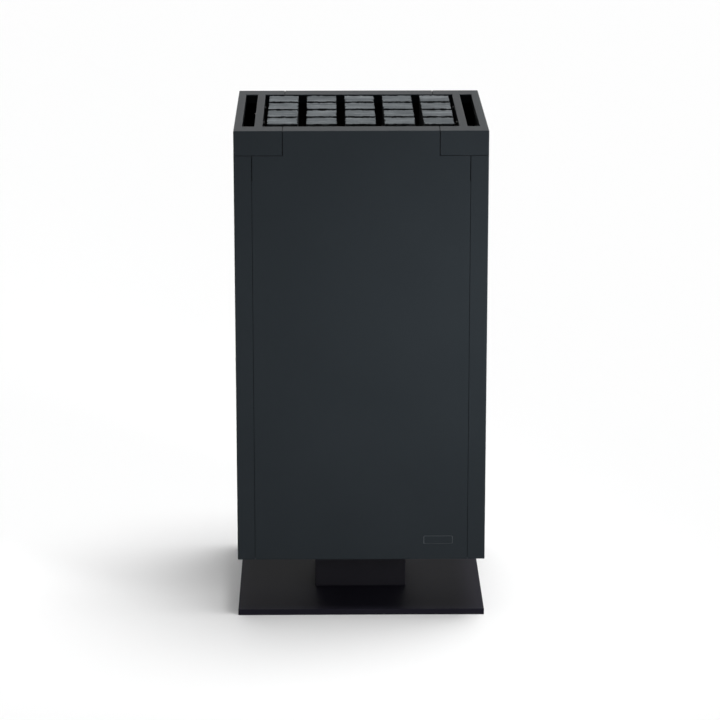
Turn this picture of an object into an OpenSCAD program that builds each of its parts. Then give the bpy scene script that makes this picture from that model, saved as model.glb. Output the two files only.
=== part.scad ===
// Free-standing electric sauna heater on a pedestal.
// Origin: centre of the base plate's underside. Front is -Y, up is +Z. Millimetres.

/* [Body] */
// Width of the body and of the base plate
body_w = 410; // [370:1:480]
// Depth of the body and of the base plate
body_d = 375; // [330:1:450]
// Height of the body above the pedestal
body_h = 722; // [660:1:860]
// Thickness of the outer panels
sheet = 1.5; // [1:0.1:2]
// Visible gap between neighbouring panels
seam = 0.8; // [0.5:0.1:1.2]

/* [Top] */
// Rim outside each side air slot
rim = 13; // [10:0.5:18]
// Width of a side air slot
slot_w = 20; // [14:0.5:26]
// Bar between an air slot and the stones
inner_bar = 13; // [12:0.5:18]
// Depth of the front and rear rims
rim_depth = 40; // [32:0.5:50]
// Width of a corner block
corner_w = 78; // [70:0.5:90]
// Height of a corner block
corner_h = 40; // [30:0.5:50]
// Width of the strip that a side panel shows at the front
strip_w = 28.6; // [24:0.1:34]

/* [Stones] */
// Gap between the columns of stones
col_gap = 14.1; // [10:0.1:17]
// Gap between the rows of stones, where the elements stand
row_gap = 12.1; // [10.5:0.1:14.5]
// Gap between the stones and the front and rear rims
end_gap = 16.1; // [12:0.1:20]
// Height of one stone
stone_h = 120; // [90:1:144]
// How far the top stones stand above the rim
stone_proud = 1; // [0:0.5:4]
// Diameter of the rods that locate the stones
rod_d = 10; // [8:0.5:12]

/* [Heating] */
// Diameter of an element's tube
element_d = 8.2; // [6.5:0.1:8.5]
// Depth of the elements' top bends below the rim
element_drop = 40; // [25:1:60]

/* [Pedestal] */
// Height of the pedestal between base plate and body
pedestal_h = 88; // [75:1:110]
// Width of the pedestal
pedestal_w = 154; // [140:1:200]
// Depth of the pedestal
pedestal_d = 140; // [125:1:190]
// Wall of the pedestal
pedestal_wall = 3; // [2:0.5:4]
// Thickness of the base plate
plate_t = 10; // [6:1:14]
// Diameter of the supply cable that the grommet takes
cable_d = 16; // [12:0.5:20]

/* [Hidden] */
$fn = 48;
fit = 0.3;
hx = body_w / 2;
hy = body_d / 2;
z_pan = plate_t + pedestal_h;
z_top = z_pan + body_h;
z_side = z_top - corner_h - seam;
open_x = hx - rim - slot_w - inner_bar;
open_y = hy - rim_depth;
slot_in = open_x + inner_bar;
slot_out = slot_in + slot_w;
head_x = hx - corner_w - seam / 2;
face_x = hx - strip_w - seam / 2;

cols = 5;
rows = 4;
layers = 3;
stone_w = 2 * open_x / cols - col_gap;
stone_d = (2 * open_y - 2 * end_gap - (rows - 1) * row_gap) / rows;
pitch_x = stone_w + col_gap;
pitch_y = stone_d + row_gap;
rack_t = 6;
z_rack = z_top + stone_proud - layers * stone_h;
bore_deep = 40;
bed = 0.2;

rail = 20;
frame_t = 2;
frame_h = 28;
lip = 15;
post_t = 2;
post_leg = 30;
pan_t = 2;
upstand = 20;
inlet = open_y - 20;
shield_t = 1.2;
liner_t = 1.5;
z_liner = z_rack - 31;

legs = 8;
leg_pitch = (2 * open_x - 52) / (legs - 1);
bend_r = leg_pitch / 2;
z_bend_top = z_top - element_drop - bend_r - element_d / 2;
z_bend_low = z_rack + 19 + bend_r + element_d / 2;
end_leg = leg_pitch * (legs - 1) / 2;

box_x = open_x - 4;
box_y = 95;
z_box = z_pan + pan_t;
box_h = 122;
box_floor = 8;
z_cap = z_box + box_h;
cap_t = 3;

screw_z = z_top - 10;
bolt_x = pedestal_w / 2 - 18;
bolt_y = pedestal_d / 2 - 18;
gland_y = 14;
gland_r = cable_d / 2 + 4.5;
sleeve_r = element_d / 2 + 2.9;
block_y = -40;

// A box from its low corner to its high corner
module span(lo, hi) {
    translate(lo)
        cube([hi[0] - lo[0], hi[1] - lo[1], hi[2] - lo[2]]);
}

// A box centred on the Z axis between two heights
module slab(half_x, half_y, z1, z2) {
    span([-half_x, -half_y, z1], [half_x, half_y, z2]);
}

module at_corners(x, y) {
    for (sx = [-1, 1], sy = [-1, 1])
        translate([sx * x, sy * y, 0])
            children();
}

// ---- Base and pedestal ----

module screw_hole() {
    translate([0, 0, -1])
        cylinder(h = plate_t + 2, r = 4.5);
    translate([0, 0, -0.01])
        cylinder(h = 4.51, r1 = 9.01, r2 = 4.5);
}

module base_plate() {
    color("#222225")
        difference() {
            slab(hx, hy, 0, plate_t);
            at_corners(bolt_x, bolt_y)
                screw_hole();
        }
}

module base_screws() {
    color("#3a3b3d")
        at_corners(bolt_x, bolt_y) {
            cylinder(h = 4.5, r1 = 9, r2 = 4.5);
            translate([0, 0, 4.5])
                cylinder(h = 0.5, r = 4.5);
            cylinder(h = plate_t + pedestal_wall + 8, r = 4);
            translate([0, 0, plate_t + pedestal_wall])
                cylinder(h = 6.5, r = 7.5, $fn = 6);
        }
}

module pedestal_column() {
    color("#161519")
        difference() {
            slab(pedestal_w / 2, pedestal_d / 2, plate_t, z_pan);
            slab(pedestal_w / 2 - pedestal_wall, pedestal_d / 2 - pedestal_wall,
                 plate_t - 1, z_pan + 1);
            translate([0, pedestal_d / 2, plate_t + pedestal_h / 2])
                rotate([90, 0, 0])
                    cylinder(h = 20, r = cable_d / 2 + 3, center = true);
        }
}

// Two frames welded inside the ends of the column, bolted down and up
module pedestal_flanges() {
    color("#161519")
        for (z = [plate_t, z_pan - pedestal_wall])
            difference() {
                slab(pedestal_w / 2 - pedestal_wall, pedestal_d / 2 - pedestal_wall,
                     z, z + pedestal_wall);
                slab(pedestal_w / 2 - 30, pedestal_d / 2 - 30, z - 1, z + pedestal_wall + 1);
                at_corners(bolt_x, bolt_y)
                    translate([0, 0, z - 1])
                        cylinder(h = pedestal_wall + 2, r = 4.2);
            }
}

module pedestal_bolts() {
    color("#8c8e90")
        at_corners(bolt_x, bolt_y) {
            translate([0, 0, z_pan + pan_t])
                cylinder(h = 5.3, r = 7.5, $fn = 6);
            translate([0, 0, z_pan - 14])
                cylinder(h = 14 + pan_t + 1, r = 4);
            translate([0, 0, z_pan - pedestal_wall - 6.5])
                cylinder(h = 6.5, r = 7.5, $fn = 6);
        }
}

module cable_grommet() {
    color("#1b1b1c")
        translate([0, pedestal_d / 2 + 2, plate_t + pedestal_h / 2])
            rotate([90, 0, 0])
                rotate_extrude()
                    polygon([
                        [cable_d / 2, 0], [cable_d / 2 + 5, 0],
                        [cable_d / 2 + 5.5, 0.5], [cable_d / 2 + 5.5, 2],
                        [cable_d / 2 + 3, 2], [cable_d / 2 + 3, 2 + pedestal_wall],
                        [cable_d / 2 + 5.5, 2 + pedestal_wall],
                        [cable_d / 2 + 5.5, 3.5 + pedestal_wall],
                        [cable_d / 2 + 5, 4 + pedestal_wall],
                        [cable_d / 2, 4 + pedestal_wall]
                    ]);
}

// ---- Frame ----

module floor_pan() {
    px = hx - sheet - fit;
    py = hy - sheet - fit;
    color("#8f9294") {
        difference() {
            slab(px, py, z_pan, z_pan + pan_t);
            slab(34, 24, z_pan - 1, z_pan + pan_t + 1);
            translate([0, gland_y, z_pan - 1])
                cylinder(h = pan_t + 2, r = 30);
            at_corners(bolt_x, bolt_y)
                translate([0, 0, z_pan - 1])
                    cylinder(h = pan_t + 2, r = 4.4);
            for (sx = [-1, 1], sy = [-1, 1]) {
                translate([sx * (slot_in + slot_out) / 2, sy * (inlet / 2 + 10), z_pan])
                    cube([slot_w + 4, inlet, 3 * pan_t], center = true);
                translate([sx * 64, sy * (box_y + py) / 2, z_pan])
                    cube([98, 36, 3 * pan_t], center = true);
            }
        }
        for (s = [-1, 1]) {
            translate([s * (px - pan_t / 2), 0, z_pan + upstand / 2])
                cube([pan_t, 2 * (py - 36), upstand], center = true);
            translate([0, s * (py - pan_t / 2), z_pan + upstand / 2])
                cube([2 * (px - 38), pan_t, upstand], center = true);
        }
    }
}

// Corner post at the +X +Y corner; its wide leg backs the seam beside the strip, and above
// that it still backs the seam under the corner block
module post(screwed) {
    px = hx - sheet - fit;
    py = hy - sheet - fit;
    wide = strip_w + 5.4;
    color("#8f9294")
        difference() {
            union() {
                span([px - post_t, py - post_leg, z_box],
                     [px, py, z_top - sheet - frame_h]);
                span([px + fit + sheet - wide, py - post_t, z_box],
                     [px, py, z_side - corner_h - 2]);
                span([hx - strip_w + 2 * seam, py - post_t, z_box],
                     [px, py, z_top - sheet - frame_h]);
            }
            if (screwed)
                for (z = [z_box + 50, z_side - 60])
                    translate([hx - 15, py, z])
                        rotate([90, 0, 0])
                            cylinder(h = 3 * post_t, r = 2.1, center = true);
        }
}

module front_right_post() {
    mirror([0, 1, 0]) post(false);
}

module front_left_post() {
    mirror([1, 0, 0]) front_right_post();
}

module rear_right_post() {
    post(true);
}

module rear_left_post() {
    mirror([1, 0, 0]) post(true);
}

module upper_frame() {
    px = hx - sheet - fit;
    py = hy - sheet - fit;
    z_ring = z_top - sheet;
    color("#8f9294")
        difference() {
            slab(px, py, z_ring - frame_h, z_ring);
            slab(px - frame_t, py - frame_t, z_ring - frame_h - 1, z_ring - frame_t);
            slab(open_x + sheet + fit, open_y + sheet + fit, z_ring - frame_h, z_ring + 1);
            for (s = [-1, 1])
                translate([s * (slot_in + slot_out) / 2, 0, z_ring])
                    cube([slot_w + 2 * (sheet + fit), 2 * (open_y + sheet + fit), 3 * frame_t],
                         center = true);
        }
}

// ---- Outer skin ----

module side_panel() {
    color("#2f3437")
        difference() {
            span([hx - strip_w, -hy, z_pan], [hx, hy, z_side]);
            span([hx - strip_w - 1, sheet - hy, z_pan - 1], [hx - sheet, hy - sheet, z_side + 1]);
            for (z = [z_box + 50, z_side - 60])
                translate([hx - 15, hy + 0.01, z])
                    rotate([90, 0, 0])
                        cylinder(h = 1.76, r1 = 3.76, r2 = 2);
        }
}

module right_side_panel() {
    side_panel();
}

module left_side_panel() {
    mirror([1, 0, 0]) side_panel();
}

module side_panel_screws() {
    color("#1d1e20")
        for (s = [-1, 1], z = [z_box + 50, z_side - 60])
            translate([s * (hx - 15), hy, z])
                rotate([90, 0, 0]) {
                    cylinder(h = 1.75, r1 = 3.75, r2 = 2);
                    cylinder(h = 11, r = 2);
                }
}

module cover_hook(x) {
    translate([x, 0, 0]) {
        span([-20, -hy + sheet / 2, z_pan + upstand + fit],
             [20, -hy + 5.6, z_pan + upstand + fit + 1.5]);
        span([-20, -hy + 4.1, z_pan + 8], [20, -hy + 5.6, z_pan + upstand + fit + 1.5]);
    }
}

module cover() {
    difference() {
        union() {
            span([-face_x, -hy, z_pan], [face_x, sheet - hy, z_side]);
            span([-head_x, -hy, z_side - 1], [head_x, sheet - hy, z_top]);
            span([-head_x, -hy, z_top - sheet], [head_x, -open_y, z_top]);
            span([-head_x, -open_y - sheet, z_top - lip], [head_x, -open_y, z_top]);
        }
        for (s = [-1, 1])
            translate([s * (face_x + 0.6), -hy, z_side - corner_h / 2])
                cube([2, 4, corner_h + 4], center = true);
    }
    for (x = [-1, 0, 1])
        cover_hook(x * 0.7 * face_x);
}

badge_x = hx - 77.5;
badge_z = z_pan + 33.5;

module front_panel() {
    color("#2d3134")
        difference() {
            cover();
            translate([badge_x, -hy, badge_z])
                cube([48.4, 1, 14.4], center = true);
        }
}

module name_badge() {
    color("#6d7275")
        translate([badge_x, -hy + 0.1, badge_z])
            cube([48, 0.8, 14], center = true);
}

module rear_panel() {
    color("#2d3134")
        mirror([0, 1, 0]) cover();
}

// Bores for the two screws that hold a top frame to the liner
module flange_bores() {
    for (j = [-1, 1])
        translate([open_x, j * pitch_y, screw_z])
            rotate([0, 90, 0])
                cylinder(h = 12, r = 2.1, center = true);
}

// Side frame: top face with its air slot, corner blocks and side skirt
module top_frame() {
    z_in = z_top - sheet;
    color("#2f3437") {
        difference() {
            span([hx - corner_w, -hy, z_top - corner_h], [hx, hy, z_top]);
            span([hx - corner_w - 1, sheet - hy, z_top - corner_h - 1], [hx - sheet, hy - sheet, z_in]);
            span([hx - corner_w - 1, -open_y, z_in - 1], [open_x, open_y, z_top + 1]);
            span([slot_in, -open_y, z_in - 1], [slot_out, open_y, z_top + 1]);
        }
        difference() {
            span([open_x, -open_y - sheet, z_top - lip], [open_x + sheet, open_y + sheet, z_in]);
            flange_bores();
        }
        for (s = [-1, 1])
            span([hx - corner_w, s * (open_y + sheet / 2) - sheet / 2, z_top - lip],
                 [open_x + sheet, s * (open_y + sheet / 2) + sheet / 2, z_in]);
        difference() {
            span([slot_in - sheet, -open_y - sheet, z_top - lip],
                 [slot_out + sheet, open_y + sheet, z_in]);
            span([slot_in, -open_y, z_top - lip - 1], [slot_out, open_y, z_top]);
        }
    }
}

module right_top_frame() {
    top_frame();
}

module left_top_frame() {
    mirror([1, 0, 0]) top_frame();
}

module top_frame_screws() {
    color("#8c8e90")
        for (s = [-1, 1], j = [-1, 1])
            translate([s * open_x, j * pitch_y, screw_z])
                rotate([0, s * 90, 0]) {
                    translate([0, 0, -2.2])
                        cylinder(h = 2.2, r = 3.6);
                    cylinder(h = 9, r = 2);
                }
}

// ---- Stone chamber ----

module chamber_liner() {
    lx = open_x + sheet + fit;
    ly = open_y + sheet + fit;
    color("#a3a5a4")
        difference() {
            slab(lx + liner_t, ly + liner_t, z_liner, z_top - sheet - frame_t);
            slab(lx, ly, z_liner - 1, z_top);
            flange_bores();
            mirror([1, 0, 0]) flange_bores();
        }
}

module side_shield() {
    px = hx - sheet - fit - post_t;
    py = hy - sheet - fit - post_t;
    color("#b4b6b5")
        span([px - shield_t, -py, z_box + upstand + 2], [px, py, z_top - sheet - frame_h - 4]);
}

module right_heat_shield() {
    side_shield();
}

module left_heat_shield() {
    mirror([1, 0, 0]) side_shield();
}

module front_heat_shield() {
    py = hy - sheet - fit - post_t;
    color("#b4b6b5")
        span([-face_x - 3, -py, z_box + 50], [face_x + 3, shield_t - py, z_side - corner_h - 4]);
}

module rear_heat_shield() {
    mirror([0, 1, 0]) front_heat_shield();
}

module rack_rail() {
    lx = open_x + sheet + fit;
    ly = open_y + sheet;
    color("#8a8c8b") {
        span([lx - 3, -ly, z_liner], [lx, ly, z_rack - rack_t]);
        span([lx - rail, -ly, z_rack - rack_t - 3], [lx, ly, z_rack - rack_t]);
    }
}

module rack_rails() {
    rack_rail();
    mirror([1, 0, 0]) rack_rail();
}

module each_stone() {
    for (i = [0 : cols - 1], j = [0 : rows - 1])
        translate([(i - (cols - 1) / 2) * pitch_x, (j - (rows - 1) / 2) * pitch_y, 0])
            children();
}

module stone_rack() {
    z1 = z_rack - rack_t;
    bar_x = open_x - 3;
    color("#6f7170")
        difference() {
            union() {
                for (j = [0 : rows - 1])
                    translate([0, (j - (rows - 1) / 2) * pitch_y, 0])
                        slab(bar_x, stone_d / 4, z1, z_rack);
                for (s = [-1, 1])
                    translate([s * (bar_x - 7), 0, 0])
                        slab(7, 1.5 * pitch_y, z1, z_rack);
            }
            each_stone()
                translate([0, 0, z1 - 1])
                    cylinder(h = rack_t + 2, r = rod_d / 2 - 0.9);
        }
}

module stone_rods() {
    color("#6f7170")
        each_stone() {
            translate([0, 0, z_rack])
                cylinder(h = (layers - 1) * stone_h + bore_deep - 2, r = rod_d / 2);
            translate([0, 0, z_rack - rack_t - 2])
                cylinder(h = rack_t + 2, r = rod_d / 2 - 1);
        }
}

module stone(z, deep) {
    translate([0, 0, z])
        difference() {
            slab(stone_w / 2, stone_d / 2, bed, stone_h);
            translate([0, 0, -1])
                cylinder(h = deep + 1, r = rod_d / 2 + 1);
        }
}

module lower_stones() {
    color("#66696c")
        for (k = [0 : layers - 2])
            each_stone() stone(z_rack + k * stone_h, stone_h + 1);
}

module top_stone(row, col) {
    color("#67696e")
        translate([(col - (cols + 1) / 2) * pitch_x, (row - (rows + 1) / 2) * pitch_y, 0])
            stone(z_rack + (layers - 1) * stone_h, bore_deep);
}

// ---- Heating ----

// One tube bent up and down across the chamber, its cold ends through the plate below
module element() {
    $fn = 36;
    color("#7d7467")
        rotate([90, 0, 0]) {
            for (i = [1 : legs - 2])
                translate([i * leg_pitch - end_leg, z_bend_low, 0])
                    rotate([-90, 0, 0])
                        cylinder(h = z_bend_top - z_bend_low, r = element_d / 2);
            for (s = [-1, 1])
                translate([s * end_leg, z_cap - 26, 0])
                    rotate([-90, 0, 0])
                        cylinder(h = z_bend_top - z_cap + 26, r = element_d / 2);
            for (i = [0 : 2 : legs - 2])
                translate([(i + 0.5) * leg_pitch - end_leg, z_bend_top, 0])
                    rotate_extrude(angle = 180)
                        translate([bend_r, 0])
                            circle(r = element_d / 2);
            for (i = [1 : 2 : legs - 3])
                translate([(i + 0.5) * leg_pitch - end_leg, z_bend_low, 0])
                    rotate([0, 0, 180])
                        rotate_extrude(angle = 180)
                            translate([bend_r, 0])
                                circle(r = element_d / 2);
            for (s = [-1, 1])
                translate([s * end_leg, 0, 0])
                    rotate([-90, 0, 0]) {
                        translate([0, 0, z_cap - 14])
                            cylinder(h = 26, r = sleeve_r);
                        translate([0, 0, z_cap + cap_t])
                            cylinder(h = 4, r = sleeve_r + 3);
                        translate([0, 0, z_cap - 40])
                            cylinder(h = 20, r = 2);
                    }
        }
}

module front_element() {
    translate([0, -pitch_y, 0]) element();
}

module middle_element() {
    element();
}

module rear_element() {
    translate([0, pitch_y, 0]) element();
}

module at_pins() {
    for (j = [-1, 0, 1], s = [-1, 1])
        translate([s * end_leg, j * pitch_y, 0])
            children();
}

module element_nuts() {
    color("#9a9c9d")
        at_pins()
            translate([0, 0, z_cap - 7])
                difference() {
                    cylinder(h = 7, r = sleeve_r + 4, $fn = 6);
                    translate([0, 0, -1])
                        cylinder(h = 9, r = sleeve_r + 0.1);
                }
}

module element_plate() {
    color("#a3a5a4")
        difference() {
            slab(box_x, box_y, z_cap, z_cap + cap_t);
            at_pins()
                translate([0, 0, z_cap - 1])
                    cylinder(h = cap_t + 2, r = sleeve_r + 0.2);
        }
}

module terminal_housing() {
    color("#8f9294")
        difference() {
            union() {
                difference() {
                    slab(box_x, box_y, z_box, z_cap);
                    slab(box_x - sheet, box_y - sheet, z_box - 1, z_cap + 1);
                }
                slab(box_x - sheet / 2, box_y - sheet / 2, z_box + box_floor, z_box + box_floor + sheet);
            }
            translate([0, gland_y, z_box + box_floor - 1])
                cylinder(h = sheet + 2, r = gland_r + 0.2);
        }
}

module terminal_block() {
    z1 = z_box + box_floor + sheet;
    color("#d8d4c8")
        translate([0, block_y, z1])
            difference() {
                slab(48, 14, 0, 24);
                for (i = [-2 : 2])
                    translate([i * 18, 0, 9])
                        span([-6.5, -8, 0], [6.5, 8, 20]);
                for (i = [-2 : 2], s = [-1, 1])
                    translate([i * 18, s * 12, 13])
                        rotate([90, 0, 0])
                            cylinder(h = 12, r = 4, center = true);
            }
}

module star_link() {
    color("#b87a4a")
        difference() {
            span([end_leg - 8, -pitch_y - 10, z_cap - 36], [end_leg + 8, pitch_y + 10, z_cap - 34]);
            at_pins()
                translate([0, 0, z_cap - 40])
                    cylinder(h = 12, r = 2.05);
        }
}

module cable_gland() {
    z1 = z_box + box_floor;
    color("#2a2a2b")
        translate([0, gland_y, z1])
            difference() {
                union() {
                    translate([0, 0, -18])
                        cylinder(h = 12, r = gland_r + 1);
                    translate([0, 0, -6])
                        cylinder(h = 6, r = gland_r + 4.5, $fn = 6);
                    translate([0, 0, -1])
                        cylinder(h = sheet + 10, r = gland_r);
                    translate([0, 0, sheet])
                        cylinder(h = 5, r = gland_r + 5, $fn = 6);
                }
                translate([0, 0, -19])
                    cylinder(h = 40, r = cable_d / 2);
            }
}

module radiation_shield() {
    py = hy - sheet - fit - post_t - shield_t;
    z1 = (z_cap + z_liner) / 2;
    color("#b4b6b5")
        difference() {
            union() {
                slab(slot_in, py, z1, z1 + shield_t);
                for (s = [-1, 1])
                    translate([0, s * (py - shield_t / 2), z1 - 9])
                        cube([2 * slot_in, shield_t, 20], center = true);
            }
            at_pins()
                translate([0, 0, z1 - 1])
                    cylinder(h = 4, r = element_d / 2 + 3);
        }
}

// ---- Nodes ----

base_plate();
base_screws();
pedestal_column();
pedestal_flanges();
pedestal_bolts();
cable_grommet();
floor_pan();
front_left_post();
front_right_post();
rear_left_post();
rear_right_post();
upper_frame();
left_side_panel();
right_side_panel();
side_panel_screws();
front_panel();
rear_panel();
left_top_frame();
right_top_frame();
top_frame_screws();
name_badge();
chamber_liner();
left_heat_shield();
right_heat_shield();
front_heat_shield();
rear_heat_shield();
rack_rails();
stone_rack();
stone_rods();
lower_stones();
top_stone(1, 1);  // top_stone_a1
top_stone(1, 2);  // top_stone_a2
top_stone(1, 3);  // top_stone_a3
top_stone(1, 4);  // top_stone_a4
top_stone(1, 5);  // top_stone_a5
top_stone(2, 1);  // top_stone_b1
top_stone(2, 2);  // top_stone_b2
top_stone(2, 3);  // top_stone_b3
top_stone(2, 4);  // top_stone_b4
top_stone(2, 5);  // top_stone_b5
top_stone(3, 1);  // top_stone_c1
top_stone(3, 2);  // top_stone_c2
top_stone(3, 3);  // top_stone_c3
top_stone(3, 4);  // top_stone_c4
top_stone(3, 5);  // top_stone_c5
top_stone(4, 1);  // top_stone_d1
top_stone(4, 2);  // top_stone_d2
top_stone(4, 3);  // top_stone_d3
top_stone(4, 4);  // top_stone_d4
top_stone(4, 5);  // top_stone_d5
front_element();
middle_element();
rear_element();
element_nuts();
element_plate();
terminal_housing();
terminal_block();
star_link();
cable_gland();
radiation_shield();
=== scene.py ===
import bmesh
import bpy
from math import cos, pi, radians, sin
from mathutils import Matrix, Vector, noise


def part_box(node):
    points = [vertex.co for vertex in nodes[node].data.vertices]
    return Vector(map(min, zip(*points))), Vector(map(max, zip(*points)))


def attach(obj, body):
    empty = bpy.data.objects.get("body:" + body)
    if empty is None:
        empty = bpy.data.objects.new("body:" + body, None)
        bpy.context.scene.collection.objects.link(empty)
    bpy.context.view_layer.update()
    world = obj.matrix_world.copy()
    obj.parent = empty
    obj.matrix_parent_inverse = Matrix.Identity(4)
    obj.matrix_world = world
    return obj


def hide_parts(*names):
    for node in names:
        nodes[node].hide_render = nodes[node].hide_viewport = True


# A free-standing sauna heater: folded and coated sheet round a chamber of sawn stones,
# on a pedestal and a flat plate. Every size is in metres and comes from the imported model.
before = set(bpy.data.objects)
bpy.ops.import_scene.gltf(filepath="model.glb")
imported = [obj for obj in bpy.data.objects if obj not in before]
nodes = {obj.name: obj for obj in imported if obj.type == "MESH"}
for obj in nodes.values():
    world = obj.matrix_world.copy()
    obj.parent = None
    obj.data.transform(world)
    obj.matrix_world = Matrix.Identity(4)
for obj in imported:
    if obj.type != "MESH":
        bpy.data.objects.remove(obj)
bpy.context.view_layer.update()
scene = bpy.context.scene
near = 1e-5             # places closer than this are taken as one


def linearColour(hexColour):
    channels = [int(hexColour[i:i + 2], 16) / 255 for i in (1, 3, 5)]
    channels = [c / 12.92 if c <= 0.04045 else ((c + 0.055) / 1.055) ** 2.4 for c in channels]
    return (*channels, 1.0)


# settings: a node's own properties or its input values, and the stops of a colour ramp
def addNode(tree, kind, settings, links):
    node = tree.nodes.new(kind)
    for key, value in settings.items():
        if key == "stops":
            elements = node.color_ramp.elements
            while len(elements) < len(value):
                elements.new(0.5)
            for element, (place, colour) in zip(elements, value):
                element.position, element.color = place, linearColour(colour)
        elif isinstance(key, int) or key in node.inputs:
            node.inputs[key].default_value = value
        else:
            setattr(node, key, value)
    for key, source in links.items():
        tree.links.new(source, node.inputs[key])
    return node


def startMaterial(name, shaderValues):
    material = bpy.data.materials.new(name)
    material.use_nodes = True
    tree = material.node_tree
    shader = tree.nodes["Principled BSDF"]
    for key, value in shaderValues.items():
        shader.inputs[key].default_value = value
    place = addNode(tree, "ShaderNodeTexCoord", {}, {}).outputs["Object"]
    return material, tree, shader, place


def finishMaterial(tree, shader, colour, rough, height, bumpMm, strength):
    bump = addNode(tree, "ShaderNodeBump", {"Strength": strength, "Distance": bumpMm / 1000},
                   {"Height": height})
    tree.links.new(colour.outputs[0], shader.inputs["Base Color"])
    tree.links.new(rough.outputs[0], shader.inputs["Roughness"])
    tree.links.new(bump.outputs[0], shader.inputs["Normal"])


# Polyester powder, sprayed dry and baked to a skin: matt and even, with a fine pebbled
# texture that breaks up reflections and a very faint cloud where the film is thicker. The
# sheen tints what it reflects. The pebble is drawn coarser than the real one, so that it shows.
def powderCoat(name, coat):
    material, tree, shader, place = startMaterial(name, {
        "Specular IOR Level": coat["gloss"], "Specular Tint": linearColour(coat["sheen"])})
    pebble = addNode(tree, "ShaderNodeTexNoise", {"Scale": 1000 / coat["pebbleMm"], "Detail": 2.0,
                     "Roughness": 0.55}, {"Vector": place}).outputs[0]
    film = addNode(tree, "ShaderNodeTexNoise", {"Scale": 1000 / coat["filmMm"], "Detail": 2.0},
                   {"Vector": place}).outputs[0]
    both = addNode(tree, "ShaderNodeMix", {"Factor": 0.3}, {2: film, 3: pebble}).outputs[0]
    colour = addNode(tree, "ShaderNodeValToRGB", {"stops": [(0.3, coat["low"]), (0.7, coat["high"])]},
                     {"Fac": both})
    rough = addNode(tree, "ShaderNodeMapRange", {"To Min": coat["roughness"] - 0.04,
                    "To Max": coat["roughness"] + 0.04}, {"Value": pebble})
    finishMaterial(tree, shader, colour, rough, pebble,
                   bumpMm=coat["pebbleMm"] * 0.05, strength=0.3)
    return material


# Zinc frozen on hot-dipped sheet: dull grey spangles a few millimetres across, each a
# little lighter or darker than the next.
def galvanisedSheet(name, zinc):
    material, tree, shader, place = startMaterial(name, {"Metallic": 1.0})
    spangle = addNode(tree, "ShaderNodeTexVoronoi", {"Scale": 1000 / zinc["spangleMm"]},
                      {"Vector": place})
    tone = addNode(tree, "ShaderNodeRGBToBW", {}, {"Color": spangle.outputs["Color"]}).outputs[0]
    bloom = addNode(tree, "ShaderNodeTexNoise", {"Scale": 1000 / zinc["bloomMm"], "Detail": 4.0},
                    {"Vector": place}).outputs[0]
    both = addNode(tree, "ShaderNodeMix", {"Factor": 0.5}, {2: tone, 3: bloom}).outputs[0]
    colour = addNode(tree, "ShaderNodeValToRGB", {"stops": [(0.3, zinc["low"]), (0.7, zinc["high"])]},
                     {"Fac": both})
    rough = addNode(tree, "ShaderNodeMapRange", {"To Min": zinc["roughness"] - 0.08,
                    "To Max": zinc["roughness"] + 0.08}, {"Value": both})
    finishMaterial(tree, shader, colour, rough, tone, bumpMm=0.02, strength=0.2)
    return material


# Rolled sheet that keeps its mill lines: thin streaks along the rolling direction, under
# the straw and brown clouds that heat leaves on it. The lines are drawn coarser than the
# real ones, so that they show.
def rolledSheet(name, sheet):
    material, tree, shader, place = startMaterial(name, {"Metallic": 1.0})
    along = addNode(tree, "ShaderNodeMapping", {"Scale": sheet["stretch"]}, {"Vector": place})
    line = addNode(tree, "ShaderNodeTexNoise", {"Scale": 1000 / sheet["lineMm"], "Detail": 3.0},
                   {"Vector": along.outputs[0]}).outputs[0]
    heat = addNode(tree, "ShaderNodeTexNoise", {"Scale": 1000 / sheet["heatMm"], "Detail": 3.0},
                   {"Vector": place}).outputs[0]
    both = addNode(tree, "ShaderNodeMix", {"Factor": sheet["heat"]}, {2: line, 3: heat}).outputs[0]
    colour = addNode(tree, "ShaderNodeValToRGB", {"stops": [(0.32, sheet["low"]), (0.68, sheet["high"])]},
                     {"Fac": both})
    rough = addNode(tree, "ShaderNodeMapRange", {"To Min": sheet["roughness"] - 0.08,
                    "To Max": sheet["roughness"] + 0.08}, {"Value": line})
    finishMaterial(tree, shader, colour, rough, line, bumpMm=0.03, strength=0.25)
    return material


# Small plated, moulded or fired pieces: one colour that drifts over a few millimetres,
# with the faint skin of the plating, mould or kiln.
def smallWare(name, ware):
    material, tree, shader, place = startMaterial(name, {"Metallic": ware["metal"]})
    drift = addNode(tree, "ShaderNodeTexNoise", {"Scale": 1000 / ware["driftMm"], "Detail": 4.0},
                    {"Vector": place}).outputs[0]
    colour = addNode(tree, "ShaderNodeValToRGB", {"stops": [(0.3, ware["low"]), (0.7, ware["high"])]},
                     {"Fac": drift})
    rough = addNode(tree, "ShaderNodeMapRange", {"To Min": ware["roughness"] - 0.06,
                    "To Max": ware["roughness"] + 0.06}, {"Value": drift})
    finishMaterial(tree, shader, colour, rough, drift, bumpMm=0.02, strength=0.2)
    return material


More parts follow.
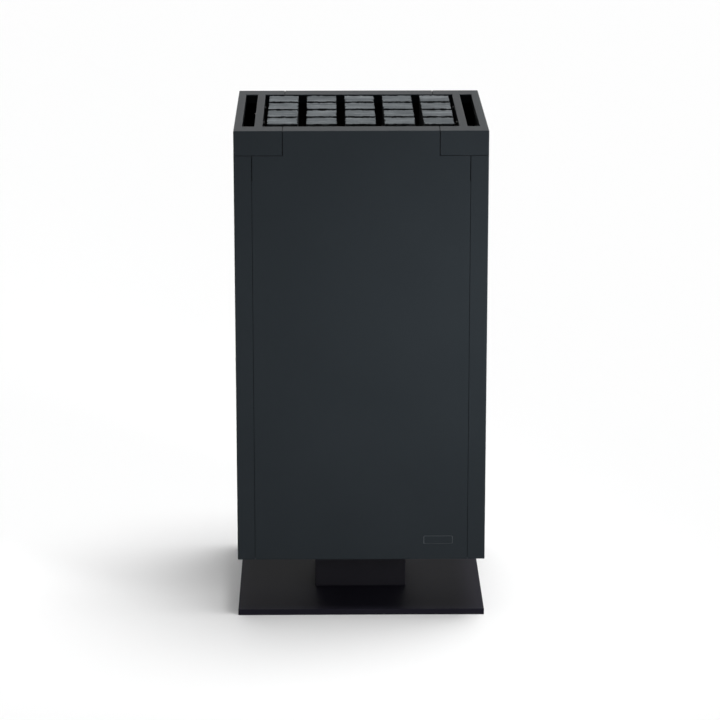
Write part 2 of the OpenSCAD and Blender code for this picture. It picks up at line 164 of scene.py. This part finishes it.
# Soapstone sawn to blocks: soft matt grey, pale talc and dark chlorite drawn out in streaks
# along its bedding, fine flecks, and painted shade that leaves the sides darker than the top.
def sawnSoapstone(name, turnDeg, shift, stone):
    material, tree, shader, place = startMaterial(name, {"Specular IOR Level": stone["gloss"]})
    bedding = addNode(tree, "ShaderNodeMapping", {"Location": (shift, shift * 0.7, shift * 0.3),
                      "Rotation": (0, 0, radians(turnDeg)), "Scale": (0.14, 1.0, 0.6)},
                      {"Vector": place}).outputs[0]
    streak = addNode(tree, "ShaderNodeTexNoise", {"Scale": 1000 / stone["streakMm"], "Detail": 5.0,
                     "Roughness": 0.65, "Distortion": 0.5}, {"Vector": bedding}).outputs[0]
    body = addNode(tree, "ShaderNodeTexNoise", {"Scale": 1000 / stone["bodyMm"], "Detail": 2.0},
                   {"Vector": bedding}).outputs[0]
    fleck = addNode(tree, "ShaderNodeTexNoise", {"Scale": 1000 / stone["fleckMm"], "Detail": 2.0},
                    {"Vector": place}).outputs[0]
    mix = addNode(tree, "ShaderNodeMix", {"Factor": 0.28}, {2: streak, 3: body}).outputs[0]
    mix = addNode(tree, "ShaderNodeMix", {"Factor": 0.2}, {2: mix, 3: fleck}).outputs[0]
    colour = addNode(tree, "ShaderNodeValToRGB", {"stops": [
        (0.36, stone["dark"]), (0.5, stone["middle"]), (0.63, stone["pale"])]}, {"Fac": mix})
    # painted shade: the further a face turns from up, the darker its colour, for the shade on the sides of
    # the blocks in the gaps
    facing = addNode(tree, "ShaderNodeNewGeometry", {}, {}).outputs["Normal"]
    upward = addNode(tree, "ShaderNodeSeparateXYZ", {}, {"Vector": facing}).outputs["Z"]
    shade = addNode(tree, "ShaderNodeMapRange", {"From Min": 0.2, "From Max": 0.9,
                    "To Min": stone["paintedSideShade"], "To Max": 1.0}, {"Value": upward}).outputs[0]
    sidesShadedColour = addNode(tree, "ShaderNodeVectorMath", {"operation": "SCALE"},
                      {0: colour.outputs[0], "Scale": shade})
    rough = addNode(tree, "ShaderNodeMapRange", {"To Min": 0.74, "To Max": 0.9}, {"Value": streak})
    height = addNode(tree, "ShaderNodeMath", {"operation": "ADD"}, {0: streak, 1: fleck}).outputs[0]
    finishMaterial(tree, shader, sidesShadedColour, rough, height, bumpMm=0.4, strength=0.5)
    return material


anthraciteCoat = powderCoat("anthracitePowderCoat", {
    "low": "#1a1f22", "high": "#1d2225", "roughness": 0.48, "gloss": 0.18,
    "sheen": "#e8f1ff", "pebbleMm": 1.2, "filmMm": 150})
plateCoat = powderCoat("blackPlateCoat", {
    "low": "#1b1a22", "high": "#1e1d25", "roughness": 0.56, "gloss": 0.085,
    "sheen": "#f1e9ff", "pebbleMm": 1.2, "filmMm": 90})
columnCoat = powderCoat("blackColumnCoat", {
    "low": "#26252b", "high": "#29282e", "roughness": 0.6, "gloss": 0.2,
    "sheen": "#faf7ff", "pebbleMm": 1.2, "filmMm": 90})
frameCoat = powderCoat("blackFrameCoat", {
    "low": "#0c0c0d", "high": "#101012", "roughness": 0.7, "gloss": 0.1,
    "sheen": "#ffffff", "pebbleMm": 1.2, "filmMm": 90})
galvanised = galvanisedSheet("galvanisedSteelSheet", {
    "low": "#4c5052", "high": "#6f7476", "roughness": 0.52, "spangleMm": 7, "bloomMm": 30})
aluminised = rolledSheet("aluminisedSteelSheet", {
    "low": "#34363a", "high": "#4a4c50", "roughness": 0.55, "stretch": (1, 1, 0.08), "lineMm": 2.5,
    "heatMm": 60, "heat": 0.5})
stainless = rolledSheet("heatTintedStainless", {
    "low": "#2b2826", "high": "#46413c", "roughness": 0.5, "stretch": (1, 1, 0.08), "lineMm": 2,
    "heatMm": 70, "heat": 0.6})
rackSteel = rolledSheet("hotRolledBlackSteel", {
    "low": "#1f1e1e", "high": "#2f2d2c", "roughness": 0.62, "stretch": (1, 0.1, 1), "lineMm": 3,
    "heatMm": 45, "heat": 0.6})
elementSheath = rolledSheet("heatBrownedElementSheath", {
    "low": "#241d18", "high": "#3b322b", "roughness": 0.5, "stretch": (1, 1, 0.1), "lineMm": 1.5,
    "heatMm": 40, "heat": 0.7})
badgeSteel = rolledSheet("brushedBadgeSteel", {
    "low": "#4a4e51", "high": "#5b6063", "roughness": 0.42, "stretch": (0.04, 1, 1), "lineMm": 0.7,
    "heatMm": 30, "heat": 0.15})
zincPlate = smallWare("brightZincPlate", {
    "low": "#8d9193", "high": "#a6aaab", "roughness": 0.36, "metal": 1.0, "driftMm": 6})
blackScrew = smallWare("blackOxideScrew", {
    "low": "#0f1011", "high": "#17181a", "roughness": 0.68, "metal": 0.2, "driftMm": 5})
rubber = smallWare("mouldedBlackRubber", {
    "low": "#141414", "high": "#1b1b1b", "roughness": 0.78, "metal": 0.0, "driftMm": 5})
steatite = smallWare("firedSteatite", {
    "low": "#cbc5b4", "high": "#dcd7c8", "roughness": 0.62, "metal": 0.0, "driftMm": 12})
copper = smallWare("punchedCopperStrip", {
    "low": "#8f5634", "high": "#b5754a", "roughness": 0.4, "metal": 1.0, "driftMm": 10})
nylon = smallWare("mouldedBlackNylon", {
    "low": "#18181a", "high": "#202022", "roughness": 0.55, "metal": 0.0, "driftMm": 8})
# the 0.28 is the painted shade: the share of its colour that a block's sides keep
soapstoneLook = {"dark": "#43484b", "middle": "#5b6063", "pale": "#808588", "gloss": 0.2,
                 "streakMm": 6, "bodyMm": 45, "fleckMm": 1.4, "paintedSideShade": 0.28}
soapstones = [sawnSoapstone(f"sawnSoapstone{i + 1}", turn, shift, soapstoneLook)
              for i, (turn, shift) in enumerate([(2, 0.0), (-3, 0.31), (5, 0.83), (-1, 1.47)])]

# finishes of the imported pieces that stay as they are
nodeFinishes = {
    zincPlate: ["base_screws", "pedestal_bolts", "element_nuts"],
    blackScrew: ["side_panel_screws", "top_frame_screws"],
    rubber: ["cable_grommet"],
    columnCoat: ["pedestal_flanges"],
    frameCoat: ["front_left_post", "front_right_post", "rear_left_post", "rear_right_post",
                "upper_frame"],
    galvanised: ["floor_pan", "terminal_housing"],
    aluminised: ["left_heat_shield", "right_heat_shield", "front_heat_shield", "rear_heat_shield",
                 "radiation_shield"],
    stainless: ["chamber_liner", "element_plate"],
    rackSteel: ["rack_rails", "stone_rack", "stone_rods"],
    elementSheath: ["front_element", "middle_element", "rear_element"],
    steatite: ["terminal_block"], copper: ["star_link"], nylon: ["cable_gland"],
}
for material, names in nodeFinishes.items():
    for nodeName in names:
        nodes[nodeName].data.materials.clear()
        nodes[nodeName].data.materials.append(material)
print("finishes mixed")


def nodeBox(name):
    low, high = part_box(name)
    return Vector(low), Vector(high)


# extrudes open edges and gives back the new ones
def pullEdges(bm, edges, move):
    made = bmesh.ops.extrude_edge_only(bm, edges=edges)["geom"]
    verts = [g for g in made if isinstance(g, bmesh.types.BMVert)]
    bmesh.ops.translate(bm, verts=verts, vec=move)
    return [g for g in made if isinstance(g, bmesh.types.BMEdge) and g.verts[0] in verts
            and g.verts[1] in verts]


# a strip of sheet: one edge carried through a list of moves
def runStrip(bm, start, end, moves):
    edges = [bm.edges.new([bm.verts.new(start), bm.verts.new(end)])]
    for move in moves:
        edges = pullEdges(bm, edges, move)


# one flat rectangle, cut along lines of constant x, y or z
def cutSheet(bm, low, high, cuts):
    flat = "y" if high.y - low.y < near else "z"
    size, middle = high - low, (low + high) / 2
    made = bmesh.ops.create_grid(bm, x_segments=1, y_segments=1, size=0.5)["verts"]
    if flat == "y":
        bmesh.ops.rotate(bm, cent=(0, 0, 0), matrix=Matrix.Rotation(pi / 2, 3, "X"), verts=made)
    bmesh.ops.scale(bm, vec=(size.x, size.y or 1, size.z or 1), verts=made)
    bmesh.ops.translate(bm, vec=middle, verts=made)
    for axis, places in cuts.items():
        normal = Vector((axis == "x", axis == "y", axis == "z"))
        for place in places:
            bmesh.ops.bisect_plane(bm, geom=bm.verts[:] + bm.edges[:] + bm.faces[:],
                                   plane_co=normal * place, plane_no=normal)


def dropFaces(bm, test):
    bmesh.ops.delete(bm, geom=[f for f in bm.faces if test(f.calc_center_median())], context="FACES")


def roundFolds(bm):
    folded = radians(sheet["foldedDeg"])
    folds = [e for e in bm.edges if len(e.link_faces) == 2 and e.calc_face_angle(0) > folded]
    bmesh.ops.bevel(bm, geom=folds, offset=sheet["bend"], offset_type="OFFSET", segments=4, profile=0.5,
                    affect="EDGES", material=-1, clamp_overlap=True)


# an open sheet has no inside of its own, so its faces are turned away from a point
def faceAwayFrom(bm, point):
    bmesh.ops.recalc_face_normals(bm, faces=bm.faces[:])
    score = sum(f.normal.dot(f.calc_center_median() - Vector(point)) * f.calc_area() for f in bm.faces)
    if score < 0:
        bmesh.ops.reverse_faces(bm, faces=bm.faces[:])


def mirrorPiece(bm, axis):
    bmesh.ops.scale(bm, vec=(-1, 1, 1) if axis == "x" else (1, -1, 1), verts=bm.verts[:])
    bmesh.ops.reverse_faces(bm, faces=bm.faces[:])


def joinInto(bm, other):
    spare = bpy.data.meshes.new("spare")
    other.to_mesh(spare)
    other.free()
    bm.from_mesh(spare)
    bpy.data.meshes.remove(spare)


def newPiece(name, bm, material, smoothDeg=0):
    mesh = bpy.data.meshes.new(name)
    bm.to_mesh(mesh)
    bm.free()
    mesh.materials.append(material)
    if smoothDeg:
        mesh.shade_smooth()
        mesh.set_sharp_from_angle(angle=radians(smoothDeg))
    piece = bpy.data.objects.new(name, mesh)
    scene.collection.objects.link(piece)
    return piece


# gives a folded sheet its thickness inwards, breaks its cut edges and hangs it on the heater
def hangSheet(name, bm):
    piece = newPiece(name + "_sheet", bm, anthraciteCoat)
    wall = piece.modifiers.new("wall", "SOLIDIFY")
    wall.thickness, wall.offset = sheet["wall"], -1
    wall.use_even_offset, wall.use_quality_normals = True, True
    edge = piece.modifiers.new("edge", "BEVEL")
    edge.width, edge.segments = sheet["edge"], 1
    edge.limit_method, edge.angle_limit = "ANGLE", radians(sheet["cutEdgeDeg"])
    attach(piece, "heater")
    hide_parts(name)


# headSeam, sideTrim and relief are how far a cover stops short at its head, at its sides
# and just below the corner blocks
sheet = {"wall": 0.0015, "bend": 0.0015, "edge": 0.00012, "foldedDeg": 30, "cutEdgeDeg": 50,
         "headSeam": 0.0012, "sideTrim": 0.0003, "relief": 0.0009, "reliefDrop": 0.042, "lip": 0.015,
         "behind": 0.05, "hookPlaces": (-0.7, 0, 0.7), "hookWidth": 0.04, "hookStep": 0.0048,
         "hookDrop": 0.0138, "upstand": 0.0218}
# inset is the liner's wall, the flange's wall and play
opening = {"inset": 0.0033, "slotFrom": 0.013, "slotTo": 0.033}
rightSideLow, rightSideHigh = nodeBox("right_side_panel")
frontLow, frontHigh = nodeBox("front_panel")
frameLow, frameHigh = nodeBox("right_top_frame")
halfDepth = rightSideHigh.y
rimInner = -frontHigh.y                         # front edge of the stone opening
openHalf = nodeBox("chamber_liner")[1].x - opening["inset"]
slotInner, slotOuter = openHalf + opening["slotFrom"], openHalf + opening["slotTo"]


def makeSidePanel(side):
    name = "right_side_panel" if side > 0 else "left_side_panel"
    low, high = rightSideLow, rightSideHigh
    strip, depth = high.x - low.x, high.y - low.y
    bm = bmesh.new()
    runStrip(bm, low, (low.x, low.y, high.z), [(strip, 0, 0), (0, depth, 0), (-strip, 0, 0)])
    roundFolds(bm)
    faceAwayFrom(bm, (low.x, 0, (low.z + high.z) / 2))
    if side < 0:
        mirrorPiece(bm, "x")
    hangSheet(name, bm)


# the wide front or rear sheet: its head folds back over the rim and hooks down inside it,
# and three welded hooks at the foot hang over the upstand of the floor pan
def makeCover(side):
    name = "rear_panel" if side > 0 else "front_panel"
    low, high = frontLow, frontHigh
    shoulder, relief = rightSideHigh.z, rightSideHigh.z - sheet["reliefDrop"]
    head, narrow = frameLow.x - sheet["headSeam"], high.x - sheet["relief"]
    wide = high.x - sheet["sideTrim"]
    bm = bmesh.new()
    cutSheet(bm, Vector((-wide, low.y, low.z)), Vector((wide, low.y, high.z)),
             {"x": [-narrow, -head, head, narrow], "z": [relief, shoulder]})
    dropFaces(bm, lambda c: abs(c.x) > head and c.z > shoulder)
    dropFaces(bm, lambda c: abs(c.x) > narrow and c.z > relief)
    top = [e for e in bm.edges if all(abs(v.co.z - high.z) < near for v in e.verts)]
    lip = pullEdges(bm, top, (0, halfDepth - rimInner, 0))
    pullEdges(bm, lip, (0, 0, -sheet["lip"]))
    roundFolds(bm)
    faceAwayFrom(bm, (0, low.y + sheet["behind"], (low.z + high.z) / 2))
    for place in sheet["hookPlaces"]:           # as shares of half the width
        hook = bmesh.new()
        middle, half = place * high.x, sheet["hookWidth"] / 2
        weld = low.y + sheet["wall"] / 2
        runStrip(hook, (middle - half, weld, low.z + sheet["upstand"]),
                 (middle + half, weld, low.z + sheet["upstand"]),
                 [(0, sheet["hookStep"], 0), (0, 0, -sheet["hookDrop"])])
        faceAwayFrom(hook, (middle, low.y, low.z))
        joinInto(bm, hook)
    if side > 0:
        mirrorPiece(bm, "y")
    hangSheet(name, bm)


# the screwed frame on each side: a top with an air slot, skirts that make the corner blocks,
# and a lip along the stone opening
def makeTopFrame(side):
    name = "right_top_frame" if side > 0 else "left_top_frame"
    low, high = frameLow, frameHigh
    bm = bmesh.new()
    cutSheet(bm, Vector((low.x, low.y, high.z)), Vector((high.x, high.y, high.z)),
             {"x": [openHalf, slotInner, slotOuter], "y": [-rimInner, rimInner]})
    dropFaces(bm, lambda c: abs(c.y) < rimInner and (c.x < openHalf or slotInner < c.x < slotOuter))
    rim, hole = [], []
    for e in bm.edges:
        if e.is_boundary:
            middle = (e.verts[0].co + e.verts[1].co) / 2
            if high.x - middle.x < near or high.y - abs(middle.y) < near:
                rim.append(e)
            elif middle.x - low.x > near and abs(middle.y) < rimInner + near:
                hole.append(e)
    pullEdges(bm, rim, (0, 0, low.z - high.z))
    pullEdges(bm, hole, (0, 0, -sheet["lip"]))
    roundFolds(bm)
    bmesh.ops.recalc_face_normals(bm, faces=bm.faces[:])
    outer = max((f for f in bm.faces if f.calc_center_median().x > high.x - near),
                key=lambda f: f.calc_area())
    if outer.normal.x < 0:
        bmesh.ops.reverse_faces(bm, faces=bm.faces[:])
    if side < 0:
        mirrorPiece(bm, "x")
    hangSheet(name, bm)


for side in (1, -1):
    makeSidePanel(side)
    makeCover(side)
    makeTopFrame(side)
print("sheets folded")


# rings are the depths of the edge loops round each block; chip is about how deep the knocks
# go, fading out at reach from the arris; grain changes slowly along x and fast along y
stone = {"across": 26, "along": 30, "lowerAcross": 12, "lowerAlong": 13, "worn": 0.0015,
         "rings": [0.0007, 0.0016, 0.003, 0.005, 0.009, 0.02, 0.05], "smoothDeg": 40,
         "chip": 0.0024, "reach": 0.0055, "bias": 0.22, "coarse": 120, "coarseShare": 0.65, "fine": 450,
         "relief": 0.00025, "grainX": 26, "grainY": 240, "grainLevel": 0.4,
         "bore": 0.006, "boreSides": 24, "boreDepth": 0.04, "seedSteps": (3.7, 1.9, 0.53)}


# a sawn block: flat faces, arrises knocked about in handling, and a blind bore underneath
def makeStoneMesh(low, high, seed, across, along):
    size, middle = high - low, (low + high) / 2
    size.y -= 2 * stone["worn"]
    bm = bmesh.new()
    bmesh.ops.create_grid(bm, x_segments=across, y_segments=along, size=0.5)
    bmesh.ops.scale(bm, vec=(size.x, size.y, 1), verts=bm.verts[:])
    bmesh.ops.translate(bm, vec=(middle.x, middle.y, high.z), verts=bm.verts[:])
    ring, depth = [e for e in bm.edges if e.is_boundary], 0.0
    for nextDepth in stone["rings"] + [size.z]:
        ring = pullEdges(bm, ring, (0, 0, depth - nextDepth))
        depth = nextDepth
    mouth = bmesh.ops.create_circle(bm, segments=stone["boreSides"], radius=stone["bore"], cap_ends=False,
                                    matrix=Matrix.Translation((middle.x, middle.y, low.z)))["verts"]
    bore = [e for e in bm.edges if e.verts[0] in mouth and e.verts[1] in mouth]
    bmesh.ops.bridge_loops(bm, edges=ring + bore)
    end = pullEdges(bm, bore, (0, 0, stone["boreDepth"]))
    bmesh.ops.edgeloop_fill(bm, edges=end)
    shift = Vector([seed * step for step in stone["seedSteps"]])     # no two blocks are worn alike
    for v in bm.verts:
        x, y, down = v.co.x - middle.x, v.co.y - middle.y, high.z - v.co.z
        inX, inY = size.x / 2 - abs(x), size.y / 2 - abs(y)
        nearest = sorted((inX, inY, down))[1]        # an arris is near when two faces are
        if down > size.z / 2 or nearest > stone["reach"]:
            if down < near:
                along = Vector((v.co.x * stone["grainX"], v.co.y * stone["grainY"], 0))
                v.co.z += (noise.noise(along + shift) - stone["grainLevel"]) * stone["relief"]
            continue
        coarse = noise.noise(v.co * stone["coarse"] + shift)
        fine = noise.noise(v.co * stone["fine"] + shift)
        knock = stone["coarseShare"] * coarse + (1 - stone["coarseShare"]) * fine
        chip = stone["chip"] * (1 - nearest / stone["reach"]) * max(0.0, knock + stone["bias"])
        v.co.x -= chip * (x > 0) * (inX < near) - chip * (x < 0) * (inX < near)
        v.co.y -= chip * (y > 0) * (inY < near) - chip * (y < 0) * (inY < near)
        v.co.z -= chip * (down < near)
    bmesh.ops.recalc_face_normals(bm, faces=bm.faces[:])
    return bm


for rowIndex, row in enumerate("abcd"):
    for column in range(1, 6):
        name, number = f"top_stone_{row}{column}", rowIndex * 5 + column
        low, high = nodeBox(name)
        bm = makeStoneMesh(low, high, number, stone["across"], stone["along"])
        look = soapstones[(rowIndex * 3 + column * 2) % len(soapstones)]
        piece = newPiece(f"sawn_stone_{row}{column}", bm, look, smoothDeg=stone["smoothDeg"])
        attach(piece, f"stone_{row}{column}")
        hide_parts(name)

# the two layers underneath, coarser, as one piece
lowerStones = bmesh.new()
pitch = nodeBox("top_stone_a1")[1].z - nodeBox("lower_stones")[1].z     # from one layer to the next
for rowIndex, row in enumerate("abcd"):
    for column in range(1, 6):
        low, high = nodeBox(f"top_stone_{row}{column}")
        for layer in (1, 2):
            drop, number = Vector((0, 0, pitch * layer)), 20 * layer + rowIndex * 5 + column
            block = makeStoneMesh(low - drop, high - drop, number, stone["lowerAcross"], stone["lowerAlong"])
            joinInto(lowerStones, block)
piece = newPiece("lower_sawn_stones", lowerStones, soapstones[1], smoothDeg=stone["smoothDeg"])
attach(piece, "heater")
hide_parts("lower_stones")
print("stones sawn")


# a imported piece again, with its long edges broken as a grinder and a coat of powder leave
# them; its loose triangles are merged and made flat faces first
def breakLongEdges(nodeName, newName, material, look):
    bm = bmesh.new()
    bm.from_mesh(nodes[nodeName].data)
    bmesh.ops.remove_doubles(bm, verts=bm.verts[:], dist=look["merge"])
    bmesh.ops.dissolve_limit(bm, angle_limit=radians(look["flatDeg"]), verts=bm.verts[:], edges=bm.edges[:])
    long = [e for e in bm.edges if e.calc_length() > look["shortest"] and len(e.link_faces) == 2
            and e.calc_face_angle(0) > radians(look["cornerDeg"])]
    bmesh.ops.bevel(bm, geom=long, offset=look["edge"], offset_type="OFFSET", segments=3, profile=0.5,
                    affect="EDGES", material=-1, clamp_overlap=False)
    bmesh.ops.recalc_face_normals(bm, faces=bm.faces[:])
    piece = newPiece(newName, bm, material)
    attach(piece, "heater")
    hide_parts(nodeName)


breakLongEdges("base_plate", "coated_base_plate", plateCoat,
               {"shortest": 0.1, "edge": 0.0006, "merge": 1e-6, "flatDeg": 0.5, "cornerDeg": 60})
breakLongEdges("pedestal_column", "coated_pedestal", columnCoat,
               {"shortest": 0.05, "edge": 0.001, "merge": 1e-6, "flatDeg": 0.5, "cornerDeg": 60})


# a blank plate: a thin bright rim of bare brushed metal round a coated field
badge = {"corner": 0.0022, "rim": 0.0007, "sink": 0.00025}
low, high = nodeBox("name_badge")
bm = bmesh.new()
bmesh.ops.create_cube(bm, size=1)
bmesh.ops.scale(bm, vec=high - low, verts=bm.verts[:])
bmesh.ops.translate(bm, vec=(low + high) / 2, verts=bm.verts[:])
corners = [e for e in bm.edges if abs(e.verts[0].co.y - e.verts[1].co.y) > near]
bmesh.ops.bevel(bm, geom=corners, offset=badge["corner"], offset_type="OFFSET", segments=6, profile=0.5,
                affect="EDGES", material=-1)
field = min(bm.faces, key=lambda f: f.calc_center_median().y)
bmesh.ops.inset_region(bm, faces=[field], thickness=badge["rim"], use_even_offset=True)
bmesh.ops.translate(bm, verts=field.verts[:], vec=(0, badge["sink"], 0))
field.material_index = 1
piece = newPiece("blank_badge", bm, badgeSteel)
piece.data.materials.append(anthraciteCoat)
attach(piece, "heater")
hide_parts("name_badge")
print("base and badge made")


view = {"place": (-0.0590, -4.8874, 1.7054), "pitchDeg": 15.061, "turnDeg": -0.694,
        "lens": 149.15, "sensor": 36, "farthest": 200}
camera = bpy.data.objects.new("camera", bpy.data.cameras.new("camera"))
camera.data.lens, camera.data.sensor_width = view["lens"], view["sensor"]
camera.data.clip_end = view["farthest"]
camera.location = view["place"]
camera.rotation_euler = (radians(90 - view["pitchDeg"]), 0, radians(view["turnDeg"]))
scene.collection.objects.link(camera)
scene.camera = camera
scene.view_settings.view_transform = "Standard"
scene.view_settings.look = "None"

# a dim even sky with a bright band low at the back, where the background paper rises behind
# the heater, and plain white wherever the camera looks at it
sky = {"even": 0.03, "paper": 1.5, "turnsAt": 0.1, "fullAt": 0.8, "lowBelow": 0.1, "goneAbove": 0.5}
studioSky = bpy.data.worlds.new("studioSky")
scene.world = studioSky
studioSky.use_nodes = True
skyTree = studioSky.node_tree
direction = addNode(skyTree, "ShaderNodeTexCoord", {}, {}).outputs["Generated"]
parts = addNode(skyTree, "ShaderNodeSeparateXYZ", {}, {"Vector": direction})
behind = addNode(skyTree, "ShaderNodeMapRange", {"interpolation_type": "SMOOTHSTEP",
                 "From Min": sky["turnsAt"], "From Max": sky["fullAt"], "To Max": sky["paper"]},
                 {"Value": parts.outputs["Y"]}).outputs[0]
low = addNode(skyTree, "ShaderNodeMapRange", {"interpolation_type": "SMOOTHSTEP",
              "From Min": sky["lowBelow"], "From Max": sky["goneAbove"], "To Min": 1.0, "To Max": 0.0},
              {"Value": parts.outputs["Z"]}).outputs[0]
glow = addNode(skyTree, "ShaderNodeMath", {"operation": "MULTIPLY_ADD", 2: sky["even"]},
               {0: behind, 1: low}).outputs[0]
seen = addNode(skyTree, "ShaderNodeLightPath", {}, {}).outputs["Is Camera Ray"]
shown = addNode(skyTree, "ShaderNodeMath", {"operation": "MAXIMUM"}, {0: glow, 1: seen}).outputs[0]
skyTree.nodes["Background"].inputs["Color"].default_value = (1, 1, 1, 1)
skyTree.links.new(shown, skyTree.nodes["Background"].inputs["Strength"])

# a broad lamp nearly overhead
lamp = {"power": 3.25, "azimuthDeg": 60, "elevationDeg": 80, "spreadDeg": 40}
lampData = bpy.data.lights.new("broadLamp", "SUN")
lampData.energy, lampData.angle = lamp["power"], radians(lamp["spreadDeg"])
broadLamp = bpy.data.objects.new("broadLamp", lampData)
azimuth, elevation = radians(lamp["azimuthDeg"]), radians(lamp["elevationDeg"])
towards = Vector((sin(azimuth) * cos(elevation), cos(azimuth) * cos(elevation), sin(elevation)))
broadLamp.rotation_euler = towards.to_track_quat("Z", "Y").to_euler()
scene.collection.objects.link(broadLamp)

# a small panel close by at the front right, whose light fades across the front
panelLight = {"place": (1.05, -1.05, 0.65), "aim": (0.08, -0.19, 0.5), "size": 0.5, "power": 2.6,
              "spreadDeg": 58}
panelData = bpy.data.lights.new("sidePanelLight", "AREA")
panelData.energy, panelData.size = panelLight["power"], panelLight["size"]
panelData.spread = radians(panelLight["spreadDeg"])
sidePanelLight = bpy.data.objects.new("sidePanelLight", panelData)
sidePanelLight.location = panelLight["place"]
reach = Vector(panelLight["place"]) - Vector(panelLight["aim"])
sidePanelLight.rotation_euler = reach.to_track_quat("Z", "Y").to_euler()
scene.collection.objects.link(sidePanelLight)

# a wide roll of background paper: uncoated fibres, matt and white
paper = startMaterial("whiteBackgroundPaper", {
    "Base Color": linearColour("#f4f4f4"), "Roughness": 0.95, "Specular IOR Level": 0.1})[0]
bm = bmesh.new()
bmesh.ops.create_grid(bm, x_segments=1, y_segments=1, size=60)
floor = newPiece("studio_floor", bm, paper)
print("camera and lights set")
